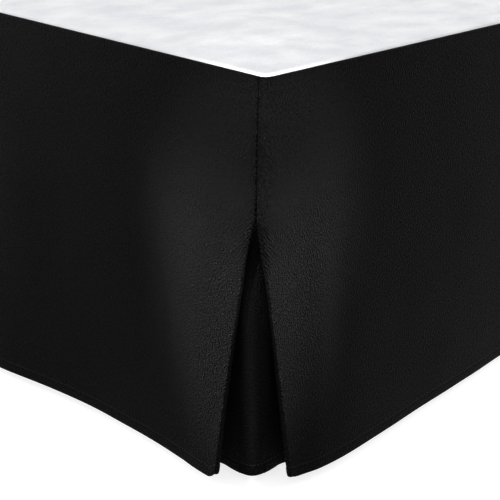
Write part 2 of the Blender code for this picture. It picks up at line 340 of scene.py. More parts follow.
# The box spring's cover, from its bottom up: a taut border between two bound edges. Columns: share
# of the height, and how far the cover lies inside the solid's side, in mm.
COVER_PROFILE = (
    (0.000, 14.0),
    (0.002, 8.0),
    (0.012, 3.5),
    (0.026, 1.2),
    (0.045, 0.6),
    (0.062, 1.4),
    (0.072, 3.0),
    (0.085, 3.2),
    (0.200, 3.9),
    (0.500, 4.4),
    (0.800, 3.9),
    (0.915, 3.2),
    (0.928, 3.0),
    (0.938, 1.4),
    (0.955, 0.6),
    (0.974, 1.2),
    (0.988, 3.5),
    (0.998, 8.0),
    (1.000, 14.0),
)
COVER_CORNER = 0.030
COVER_CORNER_POINTS = 9
COVER_SIDE_POINTS = 60
COVER_SHARP_ANGLE = 50

# The camera: its place from the photographed corner of the deck, its angles in degrees, and its
# lens and sensor in mm.
CAMERA_FROM_CORNER = (0.558, -0.617, 0.203)
CAMERA_YAW = 42.7
CAMERA_PITCH = 22.0
CAMERA_ROLL = 1.53
CAMERA_LENS = 84.6
CAMERA_SENSOR = 36
CAMERA_NEAREST = 0.05

# The studio lights. Narrow spots light the cloth beside the corner. Four of them stand too far
# round to shine into the pleat, the seam's pool of light ends above it, and the last one lights
# the middle fold inside it. Columns of each: how far round from the foot it stands in degrees, its
# height, the point it is aimed at, across and along from the corner and up from the floor, the
# width and height of its pool, its power, its roll in degrees, and its own radius, which softens
# the pool's edge.
SPOTS = (
    ("left_spot", -64, 0.42, (-0.032, 0.0, 0.140), (0.067, 0.35), 300, 9, 0.020),
    ("right_spot", 152, 0.42, (0.0, 0.0195, 0.148), (0.055, 0.33), 280, -11, 0.022),
    ("seam_spot", 46, 0.35, (0.002, 0.004, 0.310), (0.170, 0.155), 440, 0, 0.012),
    ("left_edge_spot", -26, 0.48, (-0.006, 0.0, 0.220), (0.035, 0.14), 480, 5, 0.030),
    ("right_edge_spot", 113, 0.48, (0.0, 0.0065, 0.220), (0.035, 0.14), 480, -7, 0.030),
    ("pleat_spot", 46, 0.42, (-0.0248, 0.0187, 0.095), (0.010, 0.26), 170, 3, 0.004),
)
SPOT_DISTANCE = 1.6
SPOT_BLEND = 0.8
# A wide soft light along the foot, with its angles in degrees, and the even light all round.
WASH_AZIMUTH = -72
WASH_HEIGHT = 18
WASH_SPREAD = 12
WASH_DISTANCE = 4
WASH = 0.9
WORLD = 1.0
# The floor also glows a little, so that it stays as pale as the photo's.
FLOOR_SIZE = 40
FLOOR_COLOUR = (0.5, 0.5, 0.503, 1)
FLOOR_GLOW = 0.75


def mix(a, b, share):
    return a + (b - a) * share


def smooth(share):
    """0 to 1 with level ends, from a share that may lie outside them."""
    share = np.clip(share, 0.0, 1.0)
    return share * share * (3 - 2 * share)


def bell(distance):
    """1 at 0, falling smoothly to nothing by about 2."""
    return np.exp(-(distance**2))


def read_table(table, at):
    """A smooth curve through a table's rows, in metres, level with its neighbours at each row."""
    x, y = np.array(table, float).T
    at = np.clip(at * 1000, x[0], x[-1])
    i = np.clip(np.searchsorted(x, at, side="right") - 1, 0, len(x) - 2)
    before = np.maximum(i - 1, 0)
    after = np.minimum(i + 2, len(x) - 1)
    width = x[i + 1] - x[i]
    slope0 = (y[i + 1] - y[before]) / (x[i + 1] - x[before])
    slope1 = (y[after] - y[i]) / (x[after] - x[i])
    u = (at - x[i]) / width
    rise = width * (slope0 * u * (1 - u) ** 2 - slope1 * u * u * (1 - u))
    return (mix(y[i], y[i + 1], u * u * (3 - 2 * u)) + rise) / 1000


def stations(steps, start=0.0, coarser=1.0):
    """Distances in metres from start mm on, in steps as a table's rows say."""
    at = [start]
    for stop, step in steps:
        count = max(round((stop - at[-1]) / (step * coarser)), 1)
        at += list(np.linspace(at[-1], stop, count + 1)[1:])
    return np.array(at) / 1000


def waves(kind, x, y):
    """The height of a piece's slight waves, above and below its middle."""
    height, length, seed = kind
    pick = np.random.default_rng(seed)
    total = 0.0
    for _ in range(WAVE_COUNT):
        turn = pick.uniform(0, math.pi)
        wave = 2 * math.pi / (length * pick.uniform(*WAVE_STRETCH))
        run = x * math.cos(turn) + y * math.sin(turn)
        total = total + np.sin(wave * run + pick.uniform(0, 6.28))
    return height * total / WAVE_PEAK


def plan_point(face, along, out, middle=0.0, radius=CORNER_RADIUS):
    """A point beside the deck's edge. along is the length of edge from the middle of the
    rounded corner, and out is how far outside the edge the point lies. Near the line at
    middle, where two pieces meet, offset points keep their true distance from it."""
    along, out, middle, radius = np.broadcast_arrays(along, out, middle, radius)
    bend = radius * math.pi / 4
    past = along - middle
    inside = along < bend
    shift = past * (1 - past / (bend - middle)) * (radius / (radius + out) - 1)
    near = along + np.where(inside, shift, 0.0)
    turn = np.where(inside, (bend - near) / radius, 0.0)
    across = np.where(inside, radius - (radius + out) * np.sin(turn), radius + along - bend)
    beyond = np.where(inside, (radius + out) * np.cos(turn) - radius, out)
    x = face.corner[0] + face.way_along[0] * across + face.way_out[0] * beyond
    y = face.corner[1] + face.way_along[1] * across + face.way_out[1] * beyond
    return x, y


def below_apex(depth):
    """0 down to the pleat's apex, then up to 1 at the hem."""
    return np.maximum(depth - PLEAT_APEX, 0) / (1 - PLEAT_APEX)


def fold_radius(depth):
    """Half the gap between a flap and its return, from centre to centre."""
    return mix(FOLD_RADIUS_TOP, FOLD_RADIUS_HEM, smooth(below_apex(depth)))


def pleat_middle(face, depth):
    """Where the pleat's middle line lies: beside the corner down to the apex, and then back."""
    share = mix(SEAM_TOP_SHARE, 1.0, np.minimum(depth / PLEAT_APEX, 1.0))
    return face.drift * share * (1 - below_apex(depth))


def flap_edge(face, depth):
    """How far from the corner a flap's fold has its centre: at the seam, then ever further."""
    opened = below_apex(depth) * (1 + face.bow * (1 - below_apex(depth)))
    seam = fold_radius(depth) + SOLID_CLOTH / 2 + GAP
    return pleat_middle(face, depth) + seam + face.spread * opened


def flare(hem, along, depth):
    """How far a drop stands out: ever more towards the hem, and held in beside the seam."""
    held = smooth(1 - (depth - PLEAT_APEX) / HOLD_RELEASE)
    return hem(along) * depth**FLARE_POWER * (1 - held * bell(along / HOLD_WIDTH))


def creased(creases, along, depth):
    """The height of the creases, in metres, at places along and down a face in metres."""
    x, y = along * 1000, depth * DROP * 1000
    total = 0.0
    for x0, y0, x1, y1, height, width in creases:
        length = math.hypot(x1 - x0, y1 - y0)
        way = ((x1 - x0) / length, (y1 - y0) / length)
        share = ((x - x0) * way[0] + (y - y0) * way[1]) / length
        bowed = CREASE_BOW * length * np.sin(math.pi * np.clip(share, 0, 1))
        aside = (x - x0) * way[1] - (y - y0) * way[0] + bowed
        ends = smooth(share / CREASE_START + CREASE_START) * smooth((1 - share) / CREASE_END)
        total = total + height * bell(aside / width) * ends
    return total / 1000


def swollen(swells, along, depth):
    """The height of the swells, in metres."""
    x, y = along * 1000, depth * DROP * 1000
    total = 0.0
    for x0, y0, height, width, tall in swells:
        total = total + height * bell((x - x0) / width) * bell((y - y0) / tall)
    return total / 1000


def relief(face, along, depth):
    """How far the cloth stands out beyond its broad hang, in metres."""
    start, end = DROP_WAVES_FROM_CORNER
    hang = smooth(depth * DROP / DROP_WAVES_FROM_TOP)
    wander = waves(DROP_WAVES, along, depth * DROP) * smooth((along - start) / (end - start))
    shape = creased(face.creases, along, depth) + swollen(face.swells, along, depth)
    return hang * wander + shape


def section_point(face, along, layer, out, depth, turn):
    """Points on a drop's middle surface, layer metres behind its front one."""
    radius = ROLL_RADIUS - layer
    level = radius * np.cos(np.radians(turn))
    upright = radius * np.sin(np.radians(turn))
    x, y = plan_point(face, along, level - ROLL_CENTRE + out, pleat_middle(face, depth))
    from_fold = (along - flap_edge(face, depth)) / TIP_WIDTH
    rounded = np.clip(1 - from_fold, 0.0, 1.0) ** TIP_ROUNDNESS
    lift = face.tip_lift * depth**TIP_POWER * rounded
    height = mix(DECK_HEIGHT - ROLL_CENTRE, DECK_HEIGHT - DROP + HEM_RADIUS, depth)
    return np.stack(np.broadcast_arrays(x, y, height + upright + lift), axis=-1)


def pleat_columns(face, hem, depth, turn, coarser=1.0):
    """Points from the insert's seam, along the return, round the fold and across the flap, a
    column each, and how far each lies along the flat cloth."""
    edge = flap_edge(face, depth)
    fold = fold_radius(depth)
    at_fold = flare(hem, edge, depth) + relief(face, edge, depth)
    columns = []
    places = []
    hidden = stations(RETURN_STEPS, 0.0, coarser)[:0:-1]
    for share in hidden / hidden[0]:
        along = mix(edge, RETURN_REACH, share)
        out = -mix(2 * fold - at_fold, LAYER, smooth(share))
        layer = mix(2 * fold, LAYER, smooth(share))
        columns.append(section_point(face, along, layer, out + layer, depth, turn))
        places.append(-(along - edge) - math.pi * fold)
    columns.append(section_point(face, edge, 2 * fold, at_fold, depth, turn))
    places.append(-math.pi * fold)
    for angle in FOLD_TURNS[::-1]:
        along = edge - fold * math.sin(math.radians(angle))
        layer = fold * (1 - math.cos(math.radians(angle)))
        columns.append(section_point(face, along, layer, at_fold, depth, turn))
        places.append(-math.radians(angle) * fold)
    flap = stations(FLAP_STEPS, 0.0, coarser)
    for share in flap[:-1] / flap[-1]:
        along = mix(edge, FLAP_REACH, share)
        out = flare(hem, along, depth) + relief(face, along, depth)
        columns.append(section_point(face, along, 0.0, out, depth, turn))
        places.append(along - edge)
    return columns, places


def plain_columns(face, hem, end, depth, turn, coarser=1.0):
    """Points along a drop from the pleat's reach to a distance from the corner."""
    edge = flap_edge(face, depth)
    columns = []
    places = []
    steps = (*NEAR_STEPS, (end * 1000, FAR_STEP))
    for along in stations(steps, FLAP_REACH * 1000, coarser):
        out = flare(hem, along, depth) + relief(face, along, depth)
        columns.append(section_point(face, along, 0.0, out, depth, turn))
        places.append(along - edge)
    return columns, places


def edge_distance(along):
    """The distance from the square corner of a point that far round the rounded one."""
    return along + CORNER_RADIUS * (1 - math.pi / 4)


def drop_rows(coarser=1.0):
    """The depth and the turn of each row of a drop, over the roll and down to the hem."""
    down = stations(DEPTH_STEPS, 0.0, coarser)
    depths = np.concatenate([np.zeros(len(ROLL_TURNS)), down / down[-1]])
    turns = np.concatenate([ROLL_TURNS, np.zeros(len(down))])
    return depths, turns


def add_hem(surface, wrong_side):
    """Turns the sheet's lowest row up behind it. Rows run down the first axis."""
    bottom = surface[-1]
    down = np.array([0.0, 0.0, -1.0])
    behind = wrong_side[-1]
    rows = []
    for angle in HEM_TURNS:
        back = HEM_RADIUS * (1 - math.cos(math.radians(angle)))
        low = HEM_RADIUS * math.sin(math.radians(angle))
        rows.append(bottom + back * behind + low * down)
    heights = bottom[:, 2] - surface[..., 2]
    for share in HEM_BACK_SHARES:
        rise = HEM_HEIGHT * share
        row = int(np.argmin(np.abs(heights.mean(axis=1) + rise)))
        at = surface[row] - (heights[row] + rise)[:, None] * down
        pressed = smooth((share - HEM_PRESSED_FROM) / (1 - HEM_PRESSED_FROM))
        back = mix(2 * HEM_RADIUS, HEM_PRESSED_CLOTHS * CLOTH, pressed)
        rows.append(at + back * wrong_side[row])
    return np.concatenate([surface, np.stack(rows)])


def front_normals(surface, outward):
    """Unit normals of a grid of points, on the side that faces outward in its middle column, and
    whether that took turning them round."""
    normal = np.cross(np.gradient(surface, axis=1), np.gradient(surface, axis=0))
    normal = normal / np.linalg.norm(normal, axis=-1, keepdims=True)
    rows, columns = surface.shape[:2]
    turned = np.dot(normal[rows // 3, columns // 2], outward) < 0
    return (-normal if turned else normal), turned


def pinch_hem(surface, normal):
    """Draws the cloth in along the hem's stitches and lets it puff between them and the fold."""
    up = surface[..., 2] - surface[-1, :, 2] + HEM_RADIUS
    groove = -GROOVE_DEPTH * bell((up - HEM_HEIGHT) / GROOVE_WIDTH)
    puff = PUFF_HEIGHT * smooth(up / PUFF_EDGE) * smooth((HEM_HEIGHT - up) / PUFF_EDGE)
    return surface + (groove + puff)[..., None] * normal


def add_object(name, data):
    obj = bpy.data.objects.new(name, data)
    bpy.context.scene.collection.objects.link(obj)
    return obj


def loop_points(mesh):
    """Which point each corner of each face is."""
    points = np.empty(len(mesh.loops), np.int64)
    mesh.loops.foreach_get("vertex_index", points)
    return points


def add_map(mesh, name, places):
    layer = mesh.uv_layers.new(name=name)
    layer.data.foreach_set("uv", places.astype(np.float32).ravel())


def cloth_sheet(name, surface, places, outward, material):
    """A closed sheet round a grid of points on its middle. places are the same points on the
    flat cloth, in metres, and outward is a way that the middle column's front faces."""
    normal, turned = front_normals(surface, outward)
    points = np.concatenate([surface + normal * CLOTH / 2, surface - normal * CLOTH / 2])
    rows, columns = surface.shape[:2]
    behind = rows * columns
    grid = np.arange(behind).reshape(rows, columns)
    front = np.stack([grid[:-1, :-1], grid[:-1, 1:], grid[1:, 1:], grid[1:, :-1]], axis=-1)
    front = front.reshape(-1, 4)
    rim = np.concatenate([grid[:, 0], grid[-1, 1:], grid[-2::-1, -1], grid[0, -2::-1]])
    ring = np.stack([rim[:-1], rim[1:], rim[1:] + behind, rim[:-1] + behind], axis=-1)
    if turned:
        front = np.roll(front[:, ::-1], 1, axis=1)
        ring = ring[:, ::-1]
    faces = np.concatenate([front, front[:, ::-1] + behind, ring])
    mesh = bpy.data.meshes.new(name)
    mesh.from_pydata(points.reshape(-1, 3).tolist(), [], faces.tolist())
    flat = np.zeros((2, rows, columns, 3), np.float32)
    flat[..., 0] = places[0]
    flat[..., 1] = places[1]
    flat[1, ..., 2] = 1.0
    attribute = mesh.attributes.new("flat_cloth", "FLOAT_VECTOR", "POINT")
    attribute.data.foreach_set("vector", flat.ravel())
    add_map(mesh, "threads", flat.reshape(-1, 3)[loop_points(mesh), :2])
    mesh.materials.append(material)
    mesh.shade_smooth()
    mesh.update()
    return add_object(name, mesh)


def flat_places(surface, along):
    """Where a grid's points lie on the flat cloth: along it, and down it by the rows' lengths."""
    steps = np.linalg.norm(np.diff(surface, axis=0), axis=-1)
    middle = steps[:, steps.shape[1] // 2]
    down = np.concatenate([[0.0], np.cumsum(middle)])
    return along, np.broadcast_to(-down[:, None], along.shape)


def add_bake_map(mesh, along, down):
    """A map for the export's images. The front and the back of each half of the sheet are four
    strips, one above another, and the thin rim takes no room."""
    run = np.concatenate([[0.0], np.cumsum(np.abs(np.diff(along[0])))])
    middle = int(np.searchsorted(run, run[-1] / 2))
    points = loop_points(mesh).reshape(-1, 4)
    column = points % along.shape[1]
    second = column.min(axis=1, keepdims=True) >= middle
    back = points.min(axis=1, keepdims=True) >= along.size
    start = np.where(second, run[middle], 0.0)
    end = np.where(second, run[-1], run[middle])
    u = mix(BAKE_MARGIN, 1 - BAKE_MARGIN, (run[column] - start) / (end - start))
    deep = (down / down.min()).ravel()[points % along.size]
    v = (2 * second + back + mix(BAKE_MARGIN, 1 - BAKE_MARGIN, deep)) / 4
    add_map(mesh, "OFBake", np.stack([u, v], axis=-1))


def make_drop(name, node, columns, places, outward):
    """A drop from its columns of points, with its hem turned up and topstitched. places are how
    far each column lies along the flat cloth."""
    surface = np.stack(columns, axis=1)
    along = np.stack([np.broadcast_to(p, len(surface)) for p in places], axis=1)
    normal, _ = front_normals(surface, outward)
    surface = pinch_hem(surface, normal)
    hemmed = add_hem(surface, -normal)
    turned_up = len(hemmed) - len(surface)
    along = np.concatenate([along, np.repeat(along[-1:], turned_up, axis=0)])
    flat = flat_places(hemmed, along)
    obj = cloth_sheet(name, hemmed, flat, outward, MATERIALS["black"])
    add_bake_map(obj.data, *flat)
    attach(obj, "root")
    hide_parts(node)
    heights = surface[:, surface.shape[1] // 2, 2]
    up = heights - heights[-1] + HEM_RADIUS
    row = int(np.argmin(np.abs(up - HEM_HEIGHT)))
    line = surface[row] + normal[row] * CLOTH / 2
    thread = stitches(name + "_topstitch", line, normal[row])


def stitches(name, line, normals):
    """A row of short thread stitches along a line of points, each sunk at its two ends."""
    steps = np.linalg.norm(np.diff(line, axis=0), axis=1)
    run = np.concatenate([[0.0], np.cumsum(steps)])
    count = int((run[-1] - 2 * STITCH_MARGIN) // STITCH_PITCH)
    pick = np.random.default_rng(STITCH_SEED)
    sections, swell, lift = np.array(STITCH_SECTIONS).T
    ring = 2 * math.pi * np.arange(THREAD_SIDES)[:, None] / THREAD_SIDES
    points = []
    faces = []
    for k in range(count):
        start = STITCH_MARGIN + k * STITCH_PITCH + pick.uniform(-STITCH_STRAY, STITCH_STRAY)
        at = start + sections * STITCH_LENGTH * pick.uniform(*STITCH_STRETCH)
        centre = np.stack([np.interp(at, run, line[:, i]) for i in range(3)], axis=1)
        out = np.stack([np.interp(at, run, normals[:, i]) for i in range(3)], axis=1)
        way = centre[-1] - centre[0]
        way /= np.linalg.norm(way)
        side = np.cross(way, out)
        side /= np.linalg.norm(side, axis=1, keepdims=True)
        first = len(points) * THREAD_SIDES
        for j in range(len(sections)):
            hub = centre[j] + out[j] * lift[j] * THREAD_RADIUS
            around = np.cos(ring) * side[j] + np.sin(ring) * out[j]
            points.append(hub + THREAD_RADIUS * swell[j] * around)
        last = len(points) * THREAD_SIDES - THREAD_SIDES
        for row in range(first, last, THREAD_SIDES):
            for i in range(THREAD_SIDES):
                a, b = row + i, row + (i + 1) % THREAD_SIDES
                faces.append((a, b, b + THREAD_SIDES, a + THREAD_SIDES))
        faces.append(tuple(range(first + THREAD_SIDES - 1, first - 1, -1)))
        faces.append(tuple(range(last, last + THREAD_SIDES)))
    mesh = bpy.data.meshes.new(name)
    mesh.from_pydata(np.concatenate(points).tolist(), [], faces)
    mesh.materials.append(MATERIALS["thread"])
    mesh.shade_smooth()
    obj = add_object(name, mesh)
    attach(obj, "root")
    return obj


def make_side_drop(name, node, face, table, coarser=1.0):
    """A side's drop, from the cloth turned back at its pleat to the head end."""

    def hem(along):
        return read_table(table, edge_distance(along))

    depth, turn = drop_rows(coarser)
    columns, places = pleat_columns(face, hem, depth, turn, coarser)
    end = DECK_LENGTH - edge_distance(0)
    more, further = plain_columns(face, hem, end, depth, turn, coarser)
    outward = (*face.way_out, 0)
    make_drop(name, node, columns + more, places + further, outward)


def make_foot_drop():
    """The foot's drop, one cloth made from both of its pleats to the middle."""

    def from_right(along):
        return read_table(FOOT_HEM, edge_distance(along))

    def from_left(along):
        return read_table(FOOT_HEM, DECK_WIDTH - edge_distance(along))

    depth, turn = drop_rows()
    middle = DECK_WIDTH / 2 - edge_distance(0)
    right, right_places = pleat_columns(FOOT_FROM_RIGHT, from_right, depth, turn)
    more, further = plain_columns(FOOT_FROM_RIGHT, from_right, middle, depth, turn)
    right, right_places = right + more, right_places + further
    coarser = LEFT_PLEAT_COARSER
    left, left_places = pleat_columns(FOOT_FROM_LEFT, from_left, depth, turn, coarser)
    more, further = plain_columns(FOOT_FROM_LEFT, from_left, middle, depth, turn, coarser)
    left, left_places = left + more, left_places + further
    columns = right + left[-2::-1]
    places = right_places + left_places[-2::-1]
    make_drop("skirt_foot", "drop_foot", columns, places, (0, -1, 0))


def insert_half(face, depth, coarser):
    """Columns of points from the insert's seam on one drop to the middle of its corner, and how
    far each lies from there along the flat cloth."""
    radius = mix(CORNER_RADIUS, INSERT_HEM_RADIUS, smooth(depth))
    bend = radius * math.pi / 4
    shift = radius - bend - edge_distance(0)
    top = DECK_HEIGHT - INSERT_INSET
    height = mix(top, DECK_HEIGHT - DROP - INSERT_LONGER + HEM_RADIUS, depth)
    free = smooth((depth - INSERT_FREE_FROM) / (1 - INSERT_FREE_FROM))
    lap = RETURN_REACH - INSERT_LAP
    columns = []
    places = []
    for share in np.linspace(1, 0, round(INSERT_COLUMNS / coarser)):
        along = (RETURN_REACH - shift) * share
        out = -INSERT_INSET - INSERT_SINK * free * smooth(2 - 2 * along / lap)
        loose = smooth((depth - PLEAT_APEX) / INSERT_WAVES_GROW_DOWN)
        loose = loose * smooth((lap - along) / INSERT_WAVES_GROW_ACROSS)
        out = out + loose * waves(INSERT_WAVES, along, depth * DROP * INSERT_WAVES_STRETCH)
        x, y = plan_point(face, along, out, 0.0, radius)
        columns.append(np.stack(np.broadcast_arrays(x, y, height), axis=-1))
        places.append(RETURN_REACH * share)
    return columns, places


def make_insert(name, node, foot, side, coarser=1.0):
    """The cloth behind a pleat, sewn to the turned-back edges of the foot's and a side's drop."""
    down = stations(INSERT_DEPTH_STEPS, 0.0, coarser)
    depth = down / down[-1]
    left, left_places = insert_half(foot, depth, coarser)
    right, right_places = insert_half(side, depth, coarser)
    columns = left + right[-2::-1]
    places = [-p for p in left_places] + right_places[-2::-1]
    outward = np.array([side.way_out[0], side.way_out[1] + foot.way_out[1], 0.0])
    make_drop(name, node, columns, places, outward)


def make_deck():
    """The deck cloth, lying in soft wrinkles on the box spring."""
    edge = ROLL_CENTRE + DECK_TUCK
    xs = np.linspace(edge - DECK_WIDTH / 2, DECK_WIDTH / 2 - edge, DECK_COLUMNS)
    ys = np.linspace(FACE_Y + edge, HEAD_Y, DECK_ROWS)
    x, y = np.meshgrid(xs, ys)
    corner = CORNER_RADIUS - edge
    inner_x = DECK_WIDTH / 2 - edge - corner
    over = np.abs(x) - inner_x
    under = FACE_Y + edge + corner - y
    reach = np.hypot(over, under)
    cut = (over > 0) & (under > 0) & (reach > corner)
    pull = np.where(cut, corner / np.maximum(reach, 1e-9), 1.0)
    x = np.where(cut, np.sign(x) * (inner_x + over * pull), x)
    y = np.where(cut, FACE_Y + edge + corner - under * pull, y)
    inward = np.minimum(DECK_WIDTH / 2 - edge - np.abs(x), y - FACE_Y - edge)
    inward = np.minimum(inward, HEAD_Y - y)
    swell = DECK_SWELLS[0] + waves(DECK_SWELLS, x, y)
    slant = DECK_RIDGES_SLANT
    ridge = np.abs(waves(DECK_RIDGES, x + slant[0] * y, y + slant[1] * x))
    rise = smooth(inward / DECK_FLAT_EDGE) * (swell + ridge)
    z = DECK_HEIGHT - CLOTH / 2 + np.maximum(rise, 0)
    surface = np.stack([x, y, z], axis=-1)
    obj = cloth_sheet("deck_cloth", surface, (x, y), (0, 0, 1), MATERIALS["white"])
    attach(obj, "root")
    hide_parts("deck")


def make_material(name, roughness, specular, sheen=0.0):
    material = bpy.data.materials.new(name)
    material.use_nodes = True
    shader = material.node_tree.nodes["Principled BSDF"]
    shader.inputs["Roughness"].default_value = roughness
    shader.inputs["Specular IOR Level"].default_value = specular
    shader.inputs["Sheen Weight"].default_value = sheen
    return material, Nodes(material.node_tree, shader)


class Nodes:
    """Short names for the shader nodes that the materials are made of."""

    def __init__(self, tree, shader):
        self.tree = tree
        self.shader = shader

    def add(self, kind, inputs=(), **settings):
        node = self.tree.nodes.new("ShaderNode" + kind)
        for key, value in settings.items():
            setattr(node, key, value)
        for key, value in dict(inputs).items():
            self.feed(node.inputs[key], value)
        return node

    def feed(self, socket, value):
        if isinstance(value, bpy.types.NodeSocket):
            self.tree.links.new(value, socket)
        else:
            socket.default_value = value

    def math(self, operation, a, b=0.0):
        return self.add("Math", {0: a, 1: b}, operation=operation).outputs[0]

    def times(self, a, b):
        return self.math("MULTIPLY", a, b)

    def total(self, parts):
        """The sum of some values, each times its share."""
        result = None
        for value, share in parts:
            value = self.times(value, share)
            result = value if result is None else self.math("ADD", result, value)
        return result

    def wave(self, place, pitch):
        return self.math("SINE", self.times(place, 2 * math.pi / pitch))

    def noise(self, place, lengths, detail=2.0):
        """Noise with spots of about these lengths in metres."""
        scale = [1 / length for length in lengths]
        scaled = self.add("VectorMath", {0: place, 1: scale}, operation="MULTIPLY").outputs[0]
        inputs = {"Vector": scaled, "Scale": 1.0, "Detail": detail}
        return self.add("TexNoise", inputs).outputs["Fac"]

    def ranged(self, value, low, high, to_low=0.0, to_high=1.0):
        ends = {"From Min": low, "From Max": high, "To Min": to_low, "To Max": to_high}
        return self.add("MapRange", {"Value": value, **ends}).outputs["Result"]

    def colours(self, share, dark, light):
        """The colour that lies this share of the way from a dark one to a light one."""
        inputs = {0: share, 6: (*dark, 1), 7: (*light, 1)}
        return self.add("Mix", inputs, data_type="RGBA").outputs[2]

    def bump(self, height, distance, under=None):
        """The normal of a relief this high, laid over another relief's."""
        node = self.add("Bump", {"Height": height, "Distance": distance})
        if under is not None:
            self.feed(node.inputs["Normal"], under)
        return node.outputs["Normal"]

    def flat_cloth(self):
        """A point's place on the flat cloth, with 1 on its back and 0 on its front as the third
        part, and the first two parts of it: along the cloth, and up from its top edge."""
        place = self.add("Attribute", attribute_name="flat_cloth").outputs["Vector"]
        parts = self.add("SeparateXYZ", {0: place}).outputs
        return place, parts[0], parts[1]

    def object_place(self):
        return self.add("TexCoord").outputs["Object"]

    def show(self, colour, normal=None):
        self.feed(self.shader.inputs["Base Color"], colour)
        if normal is not None:
            self.feed(self.shader.inputs["Normal"], normal)


def woven(nodes, slub, slub_length, thread_height, slub_height):
    """A plain weave with thick and thin threads, on the flat cloth's own places. Returns how
    far its threads stand up, about 0 to 1, and its normal."""
    place, along, up = nodes.flat_cloth()
    upright = nodes.noise(place, (slub, slub_length, 1), 1.0)
    level = nodes.noise(place, (slub_length * LEVEL_SLUB, slub, 1), 1.0)
    speckle = nodes.noise(place, (slub, slub, 1), 1.0)
    raised = nodes.total(zip((upright, level, speckle), SLUB_SHARES))
    threads = nodes.times(nodes.wave(along, THREAD_PITCH), nodes.wave(up, THREAD_PITCH))
    return raised, nodes.bump(raised, slub_height, nodes.bump(threads, thread_height))


def seam_puckers(nodes):
    """Fine slanting puckers beside the corner's seam and the head of the pleat, from the
    distance across to the fold and down from the top of the flat cloth."""
    place, along, up = nodes.flat_cloth()
    beside = nodes.math("ABSOLUTE", along)
    down = nodes.times(up, -1.0)
    spots = nodes.noise(place, (PUCKER_WANDER, PUCKER_WANDER, 1), 1.0)
    wandering = nodes.math("ADD", down, nodes.times(spots, PUCKER_WANDER))
    slanting = nodes.math("SUBTRACT", wandering, nodes.times(beside, PUCKER_SLANT))
    first, last = PUCKERED
    near = nodes.ranged(beside, 0.0, PUCKER_REACH, 1.0, 0.0)
    begun = nodes.ranged(down, first, first + PUCKER_FADE)
    ending = nodes.ranged(down, last, last + PUCKER_FADE, 1.0, 0.0)
    share = nodes.times(nodes.times(near, near), nodes.times(begun, ending))
    return nodes.times(nodes.wave(slanting, PUCKER_PITCH), share)


def make_black():
    """The skirt's cloth: nearly black, with a fine slub that catches the light."""
    material, nodes = make_material("black_weave", 0.55, 0.021)
    nodes.shader.inputs["Anisotropic"].default_value = 0.7
    nodes.shader.inputs["Anisotropic Rotation"].default_value = 0.25
    across = nodes.add("Tangent", direction_type="UV_MAP", uv_map="threads").outputs[0]
    nodes.feed(nodes.shader.inputs["Tangent"], across)
    raised, normal = woven(
        nodes, slub=0.0014, slub_length=0.0024, thread_height=0.000006, slub_height=0.0045
    )
    share = nodes.ranged(raised, *SLUB_RANGE)
    colour = nodes.colours(share, (0.0009, 0.0009, 0.0010), (0.0028, 0.0027, 0.0027))
    nodes.show(colour, nodes.bump(seam_puckers(nodes), PUCKER_HEIGHT, normal))
    roughness = nodes.ranged(raised, *SLUB_RANGE, to_low=0.72, to_high=0.42)
    nodes.feed(nodes.shader.inputs["Roughness"], roughness)
    return material


def make_white():
    """The deck's cloth: white and faintly blue, in soft patches."""
    material, nodes = make_material("white_deck_weave", 0.9, 0.2, sheen=0.1)
    raised, normal = woven(
        nodes, slub=0.0016, slub_length=0.0050, thread_height=0.00004, slub_height=0.0006
    )
    place, _, _ = nodes.flat_cloth()
    patches = nodes.noise(place, (0.030, 0.045, 1), 4.0)
    share = nodes.ranged(nodes.total(((raised, 0.4), (patches, 0.6))), *SLUB_RANGE)
    nodes.show(nodes.colours(share, (0.68, 0.69, 0.72), (0.84, 0.845, 0.86)), normal)
    return material


def make_thread():
    material, nodes = make_material("black_thread", 0.5, 0.2)
    share = nodes.noise(nodes.object_place(), (0.004, 0.004, 0.004))
    nodes.show(nodes.colours(share, (0.006, 0.006, 0.0065), (0.016, 0.0155, 0.0155)))
    return material


def make_steel():
    material, nodes = make_material("grey_powder_coat", 0.5, 0.4)
    place = nodes.object_place()
    grain = nodes.noise(place, (0.0012, 0.0012, 0.0012), 3.0)
    patch = nodes.noise(place, (0.08, 0.08, 0.08), 3.0)
    colour = nodes.colours(patch, (0.055, 0.055, 0.060), (0.085, 0.085, 0.090))
    nodes.show(colour, nodes.bump(grain, 0.0002))
    return material


def make_plastic():
    material, nodes = make_material("black_moulded_plastic", 0.55, 0.4)
    grain = nodes.noise(nodes.object_place(), (0.0006, 0.0006, 0.0006))
    colour = nodes.colours(grain, (0.018, 0.018, 0.018), (0.030, 0.030, 0.030))
    nodes.show(colour, nodes.bump(grain, 0.0001))
    return material


def make_ticking():
    material, nodes = make_material("pale_ticking", 0.9, 0.2, sheen=0.1)
    weave = nodes.noise(nodes.object_place(), (0.0012, 0.0012, 0.004))
    colour = nodes.colours(weave, (0.52, 0.50, 0.46), (0.66, 0.64, 0.60))
    nodes.show(colour, nodes.bump(weave, 0.0003))
    return material


def rounded_rectangle(half_x, half_y, radius):
    """Points round a rectangle with rounded corners, anticlockwise."""
    arcs = []
    for quarter, (sign_x, sign_y) in enumerate(((1, 1), (-1, 1), (-1, -1), (1, -1))):
        centre = (sign_x * (half_x - radius), sign_y * (half_y - radius))
        turns = np.linspace(quarter, quarter + 1, COVER_CORNER_POINTS) * math.pi / 2
        arcs.append(centre + radius * np.stack([np.cos(turns), np.sin(turns)], axis=1))
    shares = np.arange(1, COVER_SIDE_POINTS)[:, None] / COVER_SIDE_POINTS
    points = []
    for arc, following in zip(arcs, arcs[1:] + arcs[:1]):
        points += [arc, mix(arc[-1], following[0], shares)]
    return np.concatenate(points)


